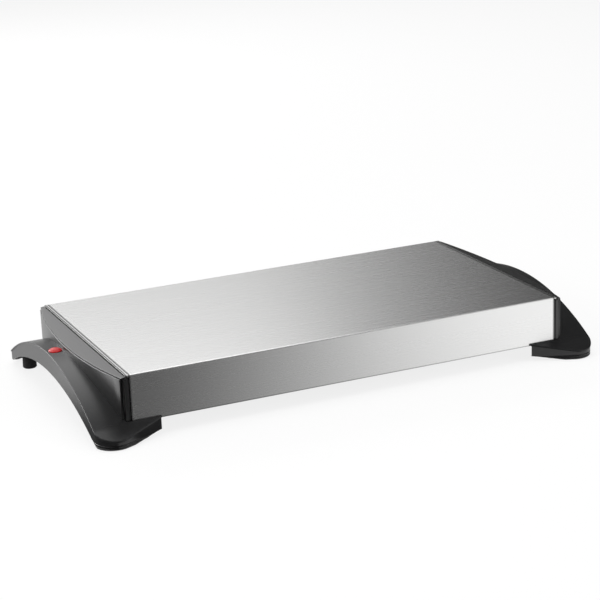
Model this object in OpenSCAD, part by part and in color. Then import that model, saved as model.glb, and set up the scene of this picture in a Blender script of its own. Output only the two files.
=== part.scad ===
// Electric food warmer tray: a folded steel cover on two arched handle mouldings.
// Millimetres. The origin is on the table, under the middle of the two handles.
// +X runs to the right end, +Y to the back and +Z up. The lamp is on the left handle.

/* [Steel cover] */
// Length of the cover, end strips included
cover_l = 507; // [460:1:560]
// Width of the cover, front to back
cover_w = 275; // [250:1:310]
// Height of the cover, from its lower edge to its top
cover_h = 51.5; // [49:0.5:60]
// Thickness of the stainless sheet
sheet_t = 0.8; // [0.6:0.1:1.2]
// Outer radius of the long folds
fold_r = 1.6; // [1.4:0.1:3]
// Width of the flange turned in under the cover
hem_w = 10; // [9:0.5:14]
// Width of the strip between the pressed line and the end of the top
strip_w = 3.5; // [2.5:0.5:5]
// Width of the pressed line
crease_w = 0.8; // [0.5:0.1:1.2]
// Depth of the pressed line
crease_d = 0.3; // [0.1:0.1:0.4]
// How far the aprons stop short of the top at each end
relief_w = 4; // [3:0.5:6]

/* [Stance] */
// Height of the cover's lower edge above the table
ride_h = 18; // [17:0.5:22]
// How far the rubber feet reach below the mouldings
foot_drop = 0.8; // [0.5:0.1:2]
// Radius of a rubber foot
foot_r = 8; // [6.5:0.5:9]
// Height of a rubber foot
foot_h = 13.5; // [12:0.5:14]
// Radius of the screw well in a foot
foot_well_r = 4.4; // [4:0.1:5]
// Depth of the screw well in a foot
foot_well_d = 6; // [5:0.5:8]

/* [End caps] */
// How far the bowed end stands out past its own corners
bow = 14.8; // [8:0.1:20]
// Depth of the cap at the corners, beyond the cover
cap_corner = 4.5; // [4:0.1:8]
// Gap between the cover's top and the cap
seam = 0.5; // [0.3:0.1:1]
// Drop of the cap's top below the cover at the seam
cap_drop = 1.4; // [0.8:0.1:2]
// Fall of the cap's top over each millimetre outwards
cap_fall = 0.17; // [0.1:0.01:0.25]
// Thickness of the cap's walls
cap_t = 2.5; // [2:0.1:3]
// Thickness of the cap's lens-shaped top
lens_t = 3; // [2.5:0.1:4]
// Thickness of the top's lip over the bowed wall
lip_t = 0.8; // [0.6:0.1:0.9]
// Depth of a corner post, front to back
post_w = 6; // [4:0.5:8]
// Width of the groove between the apron and a post
post_groove = 1.9; // [1.5:0.1:3]

/* [Handles] */
// Reach of the handle past the end of the cover
reach = 39; // [34:0.5:50]
// Drop of the handle's crest below the cover's top
crest_drop = 10.7; // [9:0.1:14]
// Fall of the handle's arched top over half the cover's width
arch_drop = 34.8; // [32:0.1:38]
// Fall of the arch that the fingers go under, over half the cover's width
under_drop = 27.8; // [26:0.1:30]
// How far the middle of that arch lies behind the handles' middle
under_back = 5; // [0:0.5:8]
// Depth of the handle at its crest
grip_d = 21.8; // [20:0.1:24]
// How far the handles' middle lies behind the cover's middle
handle_y = 5; // [0:0.5:8]
// Thickness of the lip along the handle's rim
rim_t = 1.6; // [1.2:0.1:2.2]
// How far that lip stands out past the face below it
rim_out = 0.7; // [0.4:0.1:1]
// Wall thickness of the moulding
shell_t = 2.8; // [2.2:0.1:3.2]
// How far the bowed wall stands out past the cap
wall_proud = 0.8; // [0.4:0.1:1.5]
// Gap between the bowed wall's upper edge and the cap's top surface
wall_gap = 1.5; // [1:0.1:2.5]
// How far the bowed wall stops short of the front and back
wall_inset = 2.5; // [2:0.5:5]
// Depth of the closing panel's recess in the handle
panel_recess = 1; // [0.5:0.1:2]
// Thickness of the closing panel
panel_t = 2.2; // [1.8:0.1:2.6]
// Half length of the closing panel
panel_half = 108; // [90:1:125]
// Screw place of the closing panel, from the middle
panel_screw_y = 62; // [40:1:75]

/* [Foot pads] */
// How much longer half a handle is than half the cover's width
pad_reach = 29; // [26:0.5:32]
// How far a pad's inner end stands out past the cover
pad_nose = 2.5; // [1:0.5:5]
// Length of a pad along the cover, from the cover's end
pad_along = 36.5; // [33:0.5:44]
// Depth of a pad under the cover
pad_under = 25.5; // [24:0.5:32]
// How far a pad draws in towards its back
pad_taper = 20; // [16:0.5:22]
// How far the inner end's corner is cut back
pad_cut = 2; // [1:0.1:3]
// How far a pad rises over the cover's lower edge
pad_nest = 2.5; // [1:0.1:4]
// Fall of a pad's top over each millimetre outwards
pad_fall = 0.42; // [0.36:0.01:0.45]
// Rise of a pad's underside over each millimetre inwards, from the cover's end
pad_lift = 0.17; // [0:0.01:0.2]
// Radius of a pad's outer corner
pad_r = 21; // [16:0.5:24]
// Radius of the hollow between handle and pad
valley_r = 60; // [30:1:80]
// Grooves round a pad's outer face
groove_count = 2; // [1:1:2]
// Spacing of those grooves
groove_pitch = 2.7; // [2.4:0.1:3]
// Width of a groove
groove_w = 0.6; // [0.4:0.1:0.9]
// Depth of a groove
groove_d = 0.4; // [0.2:0.1:0.6]
// Place of a foot, in from the handle's rim
foot_in_x = 16; // [15:0.5:18]
// Place of a foot, in from the handle's outer end
foot_in_y = 36; // [33:0.5:39]

/* [Base] */
// Thickness of the base plate
base_t = 0.8; // [0.6:0.1:1.2]
// Gap between the base plate and the parts round it
base_gap = 0.5; // [0.3:0.1:1]
// Height of the pressed stiffening beads
bead_h = 1.2; // [0.8:0.1:2]
// Half width of a bead
bead_r = 5; // [4:0.5:7]
// Base screws along each flange
base_screw_count = 5; // [3:1:7]
// Place of the outermost base screws, in from the cover's end
base_screw_in = 62; // [50:1:75]

/* [Heating] */
// Length of the compartment left free for the wiring
wiring_l = 60; // [56:1:70]
// Gap between the heater box and the right end cap
heater_end = 24; // [20:1:40]
// Gap between the heater box and the aprons
heater_side = 22; // [18:1:30]
// Thickness of the aluminium heat spreader
spreader_t = 3; // [2:0.5:5]
// Depth of the heat shield tray
shield_d = 14; // [12:0.5:16]
// Thickness of the heat shield sheet
shield_t = 0.6; // [0.4:0.1:1]
// Thickness of the insulation mat
mat_t = 12; // [8:0.5:13]
// Radius of the tubular heating element
tube_r = 3.25; // [2.75:0.25:4]
// Passes of the heating element
tube_passes = 4; // [4:2:4]
// Place of the thermostat, in from the heater box's left end
thermostat_in = 120; // [90:1:150]
// Thickness of the support rail sheet
rail_t = 0.8; // [0.6:0.1:1.2]
// Width of a support rail's top
rail_top = 30; // [24:1:40]
// Support rails
rail_count = 3; // [2:1:4]

/* [Inlet and lamp] */
// Place of the inlet, in from the cover's left end
inlet_in = 31.5; // [29:0.5:36]
// Width of the inlet's body
inlet_w = 29; // [27:0.5:31]
// Height of the inlet's body
inlet_h = 21; // [19.5:0.5:23]
// Depth of the inlet behind the apron
inlet_d = 18; // [16:0.5:19.5]
// Wall thickness of the inlet
inlet_t = 2.2; // [1.8:0.1:2.4]
// Width of the inlet's flange, screw ears included
flange_w = 48; // [46:1:52]
// Thickness of the inlet's flange
flange_t = 2.6; // [2:0.1:3.5]
// Spacing of the inlet's screws
ear_pitch = 38; // [37:0.5:40]
// Radius of the lamp lens
lens_r = 7.5; // [6.5:0.1:9]
// Height of the lamp's dome
dome_h = 2.4; // [1.6:0.1:3.5]
// Radius of the lamp's stem
stem_r = 5.6; // [5:0.1:6]
// Place of the lamp behind the handle's middle
lamp_y = 2.5; // [-6:0.5:10]
// Radius of a wire
wire_r = 1.1; // [0.8:0.1:1.4]

/* [Hidden] */

// Cover
cover_x = cover_l / 2;
cover_y = cover_w / 2;
cover_top = ride_h + cover_h;
apron_x = cover_x - relief_w;
inner_y = cover_y - sheet_t;
under_top = cover_top - sheet_t;
long = 900;

// Bowed end
bow_r = (cover_y * cover_y + bow * bow) / (2 * bow);
bow_cx = cover_x + cap_corner + bow - bow_r;
fit = 0.4;
wall_out = wall_proud;
wall_in = wall_proud - shell_t;
wall_half = cover_y - wall_inset;
cap_x = apron_x + 0.3;
lens_x = cover_x + seam;
lens_z = cover_top - cap_drop;

// Handle
rim_x = cover_x + reach;
crest_z = cover_top - crest_drop;
arch_r = (cover_y * cover_y + arch_drop * arch_drop) / (2 * arch_drop);
arch_cz = crest_z - arch_r;
under_r = (cover_y * cover_y + under_drop * under_drop) / (2 * under_drop);
under_cz = crest_z - grip_d - under_r;
under_y = handle_y + under_back;
skirt_z = foot_drop;
body_gap = 0.3;

// Pads. Lengths along Y with d in their name are taken from the handles' middle
pad_x = cover_x - pad_along;
pad_d = cover_y + handle_y;
pad_end_d = cover_y + pad_reach;
pad_back_y = cover_y - pad_under;
pad_z = ride_h + pad_nest;
corner_x = rim_x - pad_r;
corner_d = pad_end_d - pad_r;
nose_x = pad_x + pad_cut;
nose_y = cover_y + pad_nose;
taper_a = atan(pad_taper / pad_under);

// The hollow between arch and pad is an arc that touches both
fall_k = sqrt(1 + pad_fall * pad_fall);
valley_q = arch_r + valley_r;
valley_b = pad_z + pad_fall * pad_d + valley_r * fall_k - arch_cz;
valley_root = sqrt(pow(valley_b * pad_fall, 2) + fall_k * fall_k * (pow(valley_q, 2) - pow(valley_b, 2)));
valley_d = (valley_b * pad_fall + valley_root) / (fall_k * fall_k);
valley_z = arch_cz + valley_b - pad_fall * valley_d;
arch_a = atan2(valley_d, valley_z - arch_cz);
valley_a = atan(pad_fall);
arch_steps = 18;
valley_steps = 4;

// Feet and screws
foot_x = rim_x - foot_in_x;
foot_d = pad_end_d - foot_in_y;
foot_boss_r = foot_r - 1.5;
seat_gap = 0.2;
post_screw_x = cover_x - 18.5;
post_screw_y = cover_y - hem_w / 2;
base_screw_y = cover_y - hem_w * 0.65;
head_r = 3.6;
head_h = 2.2;
low_head_r = 2.7;
low_head_h = 1.3;
shank_r = 1.5;
hole_gap = 0.5;
pilot_gap = 0.1;
boss_r = 4;
boss_h = 14;
panel_screw_x = rim_x - 11.5;
panel_boss_r = 3.6;
panel_sink = 0.9;
panel_seat_z = under_cz + sqrt(pow(under_r + panel_recess, 2) - panel_screw_y * panel_screw_y);
small_r = 1.3;

// Inside
base_z = ride_h + sheet_t;
base_top = base_z + base_t;
base_x = apron_x - 1.5;
heater_x0 = -cover_x + wiring_l;
heater_x1 = cover_x - heater_end;
heater_y = inner_y - heater_side;
spreader_z = under_top - spreader_t;
shield_z = spreader_z - shield_d;
mat_z = shield_z - mat_t;
bead_ys = [-heater_y * 0.75, 0, heater_y * 0.75];
bead_end = 15;
pitch = (2 * heater_y - 44) / (tube_passes - 1);
tube_z = spreader_z - tube_r - 0.1;
tube_x0 = heater_x0 + 14;
tube_x1 = heater_x1 - 14;
clamp_in = (tube_x1 - tube_x0) * 0.23;
bend_r = pitch / 2;
thermostat_x = heater_x0 + thermostat_in;
fuse_x = heater_x0 + thermostat_in / 2;
inlet_x = -cover_x + inlet_in;
inlet_z = ride_h + cover_h / 2 + 2;
pin_pitch = 7;
pin_rise = 3;
pin_places = [[-pin_pitch, -pin_rise], [pin_pitch, -pin_rise], [0, pin_rise]];
tab_y = cover_y - inlet_d - 5.3;
live_tab = [inlet_x + pin_pitch, tab_y, inlet_z - pin_rise];
neutral_tab = [inlet_x - pin_pitch, tab_y, inlet_z - pin_rise];
earth_tab = [inlet_x, tab_y, inlet_z + pin_rise];
lamp_x = -rim_x + 10.5;
lamp_c = handle_y + lamp_y;
lamp_seat = arch_cz + sqrt(arch_r * arch_r - pow(abs(lamp_y) + lens_r, 2)) - 0.3;
lead_hole_z = crest_z - shell_t - 6;
bulb_r = 3;
block_x = heater_x0 - 28;
block_h = 16;
wire_z = base_top + 9;
loop_z = base_top + cover_h * 0.55;

steel = [0.72, 0.72, 0.71];
plastic = [0.24, 0.24, 0.25];
rubber = [0.05, 0.05, 0.05];
zinc = [0.62, 0.63, 0.64];
ceramic = [0.9, 0.88, 0.83];

// Small tools
module both_ends() {
    children();
    mirror([1, 0, 0]) children();
}
module front_and_back() {
    children();
    mirror([0, 1, 0]) children();
}
// Under the middle of the handles, where the origin is
module placed() {
    translate([0, -handle_y, 0]) children();
}
// At both places d from a middle at y
module at_both(x, y, d) {
    for (s = [-1, 1]) translate([x, y + s * d, 0]) children();
}
module along_x(x0, x1) {
    translate([x0, 0, 0]) rotate([90, 0, 90]) linear_extrude(x1 - x0) children();
}
module slab(x0, x1, y0, y1, z0, z1) {
    translate([x0, y0, z0]) cube([x1 - x0, y1 - y0, z1 - z0]);
}
// A screw with a slotted flat head at the bottom and its shank pointing up
module screw_up(x, y, z, len, r = shank_r, hr = head_r, hh = head_h) {
    translate([x, y, z]) {
        difference() {
            translate([0, 0, -hh]) cylinder(h = hh, r = hr, $fn = 48);
            slab(-hr * 0.6, hr * 0.6, -0.4, 0.4, -hh - 1, -hh + 0.8);
        }
        translate([0, 0, -0.01]) cylinder(h = len + 0.01, r = r, $fn = 32);
    }
}
// A round lead along a list of points, as one closed skin
function unit(v) = v / norm(v);
function lead_dir(p, i) = let (n = len(p))
    i == 0 ? unit(p[1] - p[0]) :
    i == n - 1 ? unit(p[n - 1] - p[n - 2]) :
    unit(unit(p[i] - p[i - 1]) + unit(p[i + 1] - p[i]));
function side_dir(d) = abs(d[2]) < 0.9 ? unit(cross(d, [0, 0, 1])) : unit(cross(d, [0, 1, 0.01]));
module lead(p, r, sides = 8) {
    n = len(p);
    ring = [for (i = [0:n - 1]) let (d = lead_dir(p, i), u = side_dir(d), v = cross(d, u))
        for (k = [0:sides - 1]) p[i] + r * (cos(360 * k / sides) * u + sin(360 * k / sides) * v)];
    walls = [for (i = [0:n - 2]) for (k = [0:sides - 1]) let (m = (k + 1) % sides)
        each [[i * sides + k, (i + 1) * sides + k, i * sides + m],
              [i * sides + m, (i + 1) * sides + k, (i + 1) * sides + m]]];
    near = [for (k = [1:sides - 2]) [0, k, k + 1]];
    far = [for (k = [1:sides - 2]) [(n - 1) * sides, (n - 1) * sides + k + 1, (n - 1) * sides + k]];
    polyhedron(points = ring, faces = concat(walls, near, far));
}

// Steel cover: section of the folded sheet, inset by i
module cover_section(i) {
    r = max(fold_r - i, 0.3);
    y = cover_y - i;
    z = cover_top - i;
    translate([-y, ride_h - 1]) square([2 * y, z - r - ride_h + 1]);
    translate([-y + r, ride_h - 1]) square([2 * y - 2 * r, z - ride_h + 1]);
    for (s = [-1, 1]) translate([s * (y - r), z - r]) circle(r = r, $fn = 48);
}
module cover_sheet() {
    difference() {
        cover_section(0);
        cover_section(sheet_t);
        translate([-cover_y, 0]) square([cover_w, ride_h]);
    }
    for (s = [-1, 1]) translate([s * (cover_y - hem_w / 2) - hem_w / 2, ride_h]) square([hem_w, sheet_t]);
}
function base_screw_x(i) = (cover_x - base_screw_in) * (2 * i / (base_screw_count - 1) - 1);
module screw_holes(r) {
    front_and_back() {
        for (i = [0:base_screw_count - 1]) translate([base_screw_x(i), base_screw_y, 0])
            cylinder(h = base_top + 1, r = r, $fn = 32);
        both_ends() translate([post_screw_x, post_screw_y, 0]) cylinder(h = base_top + 1, r = r, $fn = 32);
    }
}
module top_cover() {
    color(steel) difference() {
        along_x(-cover_x, cover_x) cover_sheet();
        // Aprons and flanges stop short of the top at each end
        both_ends() slab(apron_x, cover_x + 1, -cover_y - 1, cover_y + 1,
            ride_h - 1, cover_top - fold_r - 0.4);
        // Pressed line along each end
        both_ends() slab(cover_x - strip_w - crease_w, cover_x - strip_w, -cover_y - 1, cover_y + 1,
            cover_top - crease_d, cover_top + 1);
        screw_holes(shank_r + pilot_gap);
        inlet_cutout(0.3);
    }
}
module inlet_cutout(gap) {
    slab(inlet_x - inlet_w / 2 - gap, inlet_x + inlet_w / 2 + gap, inner_y - 1, cover_y + 1,
        inlet_z - inlet_h / 2 - gap, inlet_z + inlet_h / 2 + gap);
    for (s = [-1, 1]) translate([inlet_x + s * ear_pitch / 2, cover_y + 1, inlet_z]) rotate([90, 0, 0])
        cylinder(h = sheet_t + 2, r = shank_r + pilot_gap, $fn = 32);
}

// Base plate, laid on the cover's flanges from inside
module bead(y, grow, z0, z1) {
    x0 = heater_x0 + bead_end;
    x1 = heater_x1 - bead_end;
    translate([0, y, z0]) linear_extrude(z1 - z0) {
        translate([x0, -bead_r - grow]) square([x1 - x0, 2 * (bead_r + grow)]);
        for (x = [x0, x1]) translate([x, 0]) circle(r = bead_r + grow, $fn = 48);
    }
}
module base_plate() {
    color(zinc) difference() {
        union() {
            slab(-base_x, base_x, -inner_y + base_gap, inner_y - base_gap, base_z, base_top);
            for (y = bead_ys) bead(y, base_t, base_top - 0.1, base_top + bead_h);
        }
        for (y = bead_ys) bead(y, 0, base_z - 1, base_z + bead_h);
        screw_holes(shank_r + pilot_gap);
    }
}
module base_screws() {
    color(zinc) front_and_back() for (i = [0:base_screw_count - 1])
        screw_up(base_screw_x(i), base_screw_y, ride_h, sheet_t + base_t + 3,
            shank_r, low_head_r, low_head_h);
}

// Round disc whose edge is the bowed end line, moved out by grow
module bow_disc(grow) {
    translate([bow_cx, 0]) circle(r = bow_r + grow, $fn = 1080);
}
// Everything under the sloping plane of the cap's top, lowered by d
module under_slope(d) {
    translate([lens_x, 0, lens_z - d]) rotate([0, atan(cap_fall), 0])
        translate([-long / 2, -long / 2, -long]) cube(long);
}
module lens_slice(grow, high, low) {
    intersection() {
        linear_extrude(long) intersection() {
            bow_disc(grow);
            translate([lens_x, -cover_y]) square([long, cover_w]);
        }
        difference() {
            under_slope(high);
            under_slope(low);
        }
    }
}
module end_cap() {
    difference() {
        union() {
            // Lens-shaped top, with a thin lip over the edge of the bowed wall
            lens_slice(0, 0, lip_t);
            lens_slice(wall_in - fit, 0, lens_t);
            // Web and tongue that carry the cover's end strip
            web_y = inner_y - post_w;
            slab(cap_x, lens_x + 0.5, -web_y, web_y, lens_z - lens_t - 1, lens_z - lens_t + 0.8);
            slab(cap_x - 8, cover_x - 0.3, -web_y, web_y, lens_z - lens_t, under_top - 0.1);
            // Bulkhead that closes the cover
            slab(cap_x, cap_x + cap_t, -inner_y + 0.4, inner_y - 0.4, ride_h, lens_z - lens_t + 0.8);
            // Corner posts
            front_and_back() {
                translate([0, 0, ride_h]) linear_extrude(lens_z - lens_t + 1 - ride_h) intersection() {
                    bow_disc(wall_in - fit);
                    union() {
                        translate([cap_x + post_groove, cover_y - post_w]) square([long, post_w]);
                        translate([cap_x, cover_y - post_w]) square([long, post_w - 1.5]);
                    }
                }
                slab(cap_x + post_groove, cover_x - 0.2, cover_y - post_w, cover_y - 0.4,
                    lens_z - lens_t, under_top - 0.6);
            }
            // Screw bosses behind the bulkhead
            front_and_back() {
                translate([post_screw_x, post_screw_y, base_top]) cylinder(h = boss_h, r = boss_r, $fn = 48);
                slab(post_screw_x, cap_x + 0.5, post_screw_y - 1.2, post_screw_y + 1.2,
                    base_top, base_top + boss_h);
            }
        }
        front_and_back() translate([post_screw_x, post_screw_y, base_top - 1])
            cylinder(h = boss_h - 2, r = shank_r + pilot_gap, $fn = 32);
    }
}
module lamp_lead_hole() {
    from = lamp_x + stem_r - 1;
    translate([from, lamp_c, lead_hole_z]) rotate([0, 90, 0])
        cylinder(h = -apron_x + 6 - from, r = 3.4, $fn = 32);
}
module left_end_cap() {
    color(plastic) difference() {
        mirror([1, 0, 0]) end_cap();
        lamp_lead_hole();
    }
}
module right_end_cap() {
    color(plastic) end_cap();
}

// Side view of the handle, as a region under its top surface, inset by i
function side_half(i) = concat(
    [for (k = [0:arch_steps]) let (a = arch_a * k / arch_steps)
        [(arch_r - i) * sin(a), arch_cz + (arch_r - i) * cos(a)]],
    [for (k = [1:valley_steps]) let (a = arch_a + (valley_a - arch_a) * k / valley_steps)
        [valley_d - (valley_r + i) * sin(a), valley_z - (valley_r + i) * cos(a)]],
    [[pad_end_d + 5, pad_z - i * fall_k - pad_fall * (pad_end_d + 5 - pad_d)]]);
module handle_side(i) {
    half = side_half(i);
    far = pad_end_d + 5;
    translate([handle_y, 0]) polygon(concat(half, [[far, skirt_z], [-far, skirt_z]],
        [for (k = [len(half) - 1:-1:1]) [-half[k][0], half[k][1]]]));
}
module under_side(i) {
    along_x(pad_x - 1, rim_x + 1) handle_side(i);
}
// Turn of a pad's front edge, which runs from its nose to the corner arc and touches it
function nose_turn(c) = let (dx = corner_x - nose_x, dy = c - nose_y)
    atan2(dy, dx) + asin(pad_r / norm([dx, dy]));
// Plan of one pad at the back right, inset by i. Its corner arc has its middle at c. For
// the face below the lip, the arc steps back along the front edge until the rim is set
// back by s, and the inner end has no tip
module pad_plan(i, c, s) {
    a = nose_turn(c);
    cx = corner_x - s;
    cy = c - s * tan(a);
    tip_x = s > 0 ? nose_x + pad_nose * tan(taper_a) : pad_x;
    polygon([[tip_x + (pad_under - i) * tan(taper_a) + i / cos(taper_a), pad_back_y + i],
        [tip_x + i / cos(taper_a), cover_y],
        [nose_x + i, nose_y + i * tan(a) - i / cos(a)],
        [cx - (pad_r - i) * sin(a), cy + (pad_r - i) * cos(a)],
        [cx, cy], [rim_x - s - i, cy], [rim_x - s - i, pad_back_y + i]]);
    translate([cx, cy]) circle(r = pad_r - i, $fn = 144);
}
module handle_plan(i, s) {
    difference() {
        translate([cover_x - 10, handle_y - corner_d + s])
            square([rim_x - s - i - cover_x + 10, 2 * corner_d - 2 * s]);
        bow_disc(wall_out);
    }
    pad_plan(i, corner_d + handle_y, s);
    mirror([0, 1]) pad_plan(i, corner_d - handle_y, s);
}
// The arch that the fingers go under, raised by d
module under_arch(d, x0, x1) {
    along_x(x0, x1) translate([under_y, under_cz]) circle(r = under_r + d, $fn = 1080);
}
module body_room(z, grow, d) {
    translate([0, 0, z]) linear_extrude(long) intersection() {
        bow_disc(grow);
        square([long, cover_w + 2 * d], center = true);
    }
}
module bowed_wall() {
    intersection() {
        translate([0, 0, ride_h]) linear_extrude(cover_h) intersection() {
            difference() {
                bow_disc(wall_out);
                bow_disc(wall_in);
            }
            translate([cover_x, -wall_half]) square([long, 2 * wall_half]);
        }
        under_slope(wall_gap);
    }
}
// Outside of a handle: a lip on top, and the face below it set back
module handle_form() {
    intersection() {
        under_side(0);
        union() {
            linear_extrude(long) handle_plan(0, rim_out);
            difference() {
                linear_extrude(long) handle_plan(0, 0);
                under_side(rim_t);
            }
        }
    }
}
// Its hollow underside, with the plate that carries the cover left in
module handle_hollow() {
    difference() {
        intersection() {
            translate([0, 0, -1]) linear_extrude(long) handle_plan(shell_t, rim_out);
            union() {
                under_side(shell_t);
                slab(pad_x, rim_x, -long / 2, long / 2, -1, skirt_z + 1);
            }
        }
        body_room(ride_h - shell_t, wall_out, body_gap + shell_t);
    }
}
module handle_grooves() {
    for (k = [1:groove_count]) translate([0, 0, skirt_z + k * groove_pitch - groove_w / 2])
        linear_extrude(groove_w) difference() {
            handle_plan(-1, 0);
            handle_plan(groove_d, rim_out);
            translate([0, handle_y - corner_d + pad_r]) square([long, 2 * (corner_d - pad_r)]);
        }
}
module handle() {
    difference() {
        union() {
            difference() {
                handle_form();
                handle_hollow();
                body_room(ride_h, wall_in, body_gap);
                under_arch(0, cover_x + cap_corner + 2, rim_x + 1);
                handle_grooves();
            }
            bowed_wall();
            // Bosses for the feet, clear of the closing panel
            intersection() {
                at_both(foot_x, handle_y, foot_d) translate([0, 0, foot_h])
                    cylinder(h = long, r = foot_boss_r, $fn = 48);
                difference() {
                    under_side(shell_t / 2);
                    slab(cover_x, rim_x + 1, under_y - panel_half - body_gap, under_y + panel_half + body_gap,
                        0, panel_seat_z);
                }
            }
            // Bosses for the closing panel
            intersection() {
                at_both(panel_screw_x, under_y, panel_screw_y) cylinder(h = long, r = panel_boss_r, $fn = 48);
                difference() {
                    under_side(shell_t / 2);
                    under_arch(panel_recess + panel_t + seat_gap, cover_x, rim_x);
                }
            }
        }
        // The pads' undersides rise inwards
        translate([0, long / 2, skirt_z]) rotate([90, 0, 0]) linear_extrude(long)
            polygon([[cover_x, -1], [cover_x, 0], [pad_x - 1, pad_lift * (pad_along + 1)], [pad_x - 1, -1]]);
        at_both(foot_x, handle_y, foot_d) cylinder(h = foot_h + 4, r = shank_r + pilot_gap, $fn = 32);
        at_both(panel_screw_x, under_y, panel_screw_y)
            cylinder(h = panel_seat_z + 8, r = small_r + pilot_gap, $fn = 32);
        front_and_back() translate([post_screw_x, post_screw_y, 0])
            cylinder(h = ride_h + 1, r = shank_r + hole_gap, $fn = 32);
    }
}
module left_handle() {
    color(plastic) difference() {
        mirror([1, 0, 0]) handle();
        // Seat and hole of the lamp
        translate([lamp_x, lamp_c, lamp_seat]) cylinder(h = 20, r = lens_r + seat_gap, $fn = 64);
        translate([lamp_x, lamp_c, lamp_seat - 15]) cylinder(h = 20, r = stem_r + seat_gap, $fn = 64);
        lamp_lead_hole();
    }
}
module right_handle() {
    color(plastic) handle();
}

// Panel that closes the handle from below
module grip_panel() {
    difference() {
        intersection() {
            linear_extrude(long) difference() {
                translate([cover_x, under_y - panel_half])
                    square([rim_x - rim_out - shell_t - body_gap - cover_x, 2 * panel_half]);
                bow_disc(wall_out + body_gap);
            }
            difference() {
                slab(cover_x, rim_x, -long / 2, long / 2, skirt_z, crest_z);
                under_arch(panel_recess, cover_x - 1, rim_x + 1);
            }
            under_arch(panel_recess + panel_t, cover_x - 1, rim_x + 1);
        }
        at_both(panel_screw_x, under_y, panel_screw_y) {
            cylinder(h = crest_z, r = shank_r, $fn = 32);
            cylinder(h = panel_seat_z + panel_sink, r = low_head_r + seat_gap, $fn = 32);
        }
    }
}
module left_grip_panel() {
    color(plastic * 0.8) mirror([1, 0, 0]) grip_panel();
}
module right_grip_panel() {
    color(plastic * 0.8) grip_panel();
}
module grip_screws() {
    color(zinc) both_ends() at_both(panel_screw_x, under_y, panel_screw_y)
        screw_up(0, 0, panel_seat_z + panel_sink, 7, small_r, low_head_r, low_head_h);
}
module handle_screws() {
    color(zinc) both_ends() front_and_back()
        screw_up(post_screw_x, post_screw_y, ride_h - shell_t, shell_t + sheet_t + base_t + 9);
}

// Rubber feet
module foot(y) {
    translate([foot_x, y, 0]) difference() {
        rotate_extrude($fn = 96)
            polygon([[0, 0], [foot_r - 1, 0], [foot_r, 1], [foot_r - 0.4, foot_h], [0, foot_h]]);
        translate([0, 0, -1]) cylinder(h = foot_well_d + 1, r = foot_well_r, $fn = 48);
        translate([0, 0, -1]) cylinder(h = foot_h + 2, r = shank_r + hole_gap, $fn = 32);
    }
}
module front_left_foot() {
    color(rubber) mirror([1, 0, 0]) foot(handle_y - foot_d);
}
module front_right_foot() {
    color(rubber) foot(handle_y - foot_d);
}
module back_left_foot() {
    color(rubber) mirror([1, 0, 0]) foot(handle_y + foot_d);
}
module back_right_foot() {
    color(rubber) foot(handle_y + foot_d);
}
module foot_screws() {
    color(zinc) both_ends() at_both(foot_x, handle_y, foot_d)
        screw_up(0, 0, foot_well_d, foot_h - foot_well_d + 3.5);
}

// Pilot lamp
module pilot_lamp_lens() {
    dome_r = (lens_r * lens_r + dome_h * dome_h) / (2 * dome_h);
    color("red") translate([lamp_x, lamp_c, lamp_seat]) difference() {
        union() {
            cylinder(h = 0.8, r = lens_r, $fn = 64);
            intersection() {
                translate([0, 0, 0.8 + dome_h - dome_r]) sphere(r = dome_r, $fn = 96);
                translate([0, 0, 0.4]) cylinder(h = dome_h + 1, r = lens_r, $fn = 64);
            }
            translate([0, 0, -7]) cylinder(h = 7.5, r = stem_r, $fn = 64);
        }
        translate([0, 0, -8]) cylinder(h = 7.4, r = stem_r - 1.2, $fn = 64);
    }
}
module pilot_lamp_holder() {
    color(plastic) translate([lamp_x, lamp_c, lamp_seat - 7]) {
        difference() {
            translate([0, 0, -2.2]) cylinder(h = 2, r = stem_r, $fn = 64);
            for (s = [-1, 1]) translate([0, s * 1.9, -3]) cylinder(h = 4, r = 0.5, $fn = 24);
        }
    }
}
module pilot_lamp_bulb() {
    color("orange") translate([lamp_x, lamp_c, lamp_seat - 7]) {
        translate([0, 0, -0.2]) cylinder(h = 2.8, r = bulb_r, $fn = 48);
        translate([0, 0, 2.6]) intersection() {
            sphere(r = bulb_r, $fn = 48);
            translate([0, 0, -1]) cylinder(h = bulb_r + 2, r = bulb_r, $fn = 48);
        }
    }
}

// Inlet for a detachable lead, in the back apron
module appliance_inlet() {
    w = inlet_w;
    h = inlet_h;
    ear_r = (flange_w - ear_pitch) / 2;
    color("black") difference() {
        union() {
            slab(inlet_x - w / 2, inlet_x + w / 2, cover_y - inlet_d, cover_y + 1,
                inlet_z - h / 2, inlet_z + h / 2);
            translate([inlet_x, cover_y + flange_t, inlet_z]) rotate([90, 0, 0]) linear_extrude(flange_t) {
                square([w + 4, h + 4], center = true);
                square([ear_pitch, 2 * ear_r - 1], center = true);
                for (s = [-1, 1]) translate([s * ear_pitch / 2, 0]) circle(r = ear_r, $fn = 48);
            }
        }
        slab(inlet_x - w / 2 + inlet_t, inlet_x + w / 2 - inlet_t,
            cover_y - inlet_d + inlet_t, cover_y + flange_t + 1,
            inlet_z - h / 2 + inlet_t, inlet_z + h / 2 - inlet_t);
        for (s = [-1, 1]) translate([inlet_x + s * ear_pitch / 2, cover_y + flange_t + 1, inlet_z])
            rotate([90, 0, 0]) cylinder(h = flange_t + 2, r = shank_r + pilot_gap, $fn = 32);
        for (d = pin_places) pin_at(d, 0.05);
    }
}
module pin_at(d, grow) {
    translate([inlet_x + d[0] - 1 - grow, cover_y - inlet_d - 0.5, inlet_z + d[1] - 2 - grow])
        cube([2 + 2 * grow, inlet_d - 3.5, 4 + 2 * grow]);
}
module inlet_pins() {
    color("gold") for (d = pin_places) {
        pin_at(d, 0);
        translate([inlet_x + d[0] - 1.6, cover_y - inlet_d - 5, inlet_z + d[1] - 0.4]) cube([3.2, 5, 0.8]);
    }
}
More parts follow.
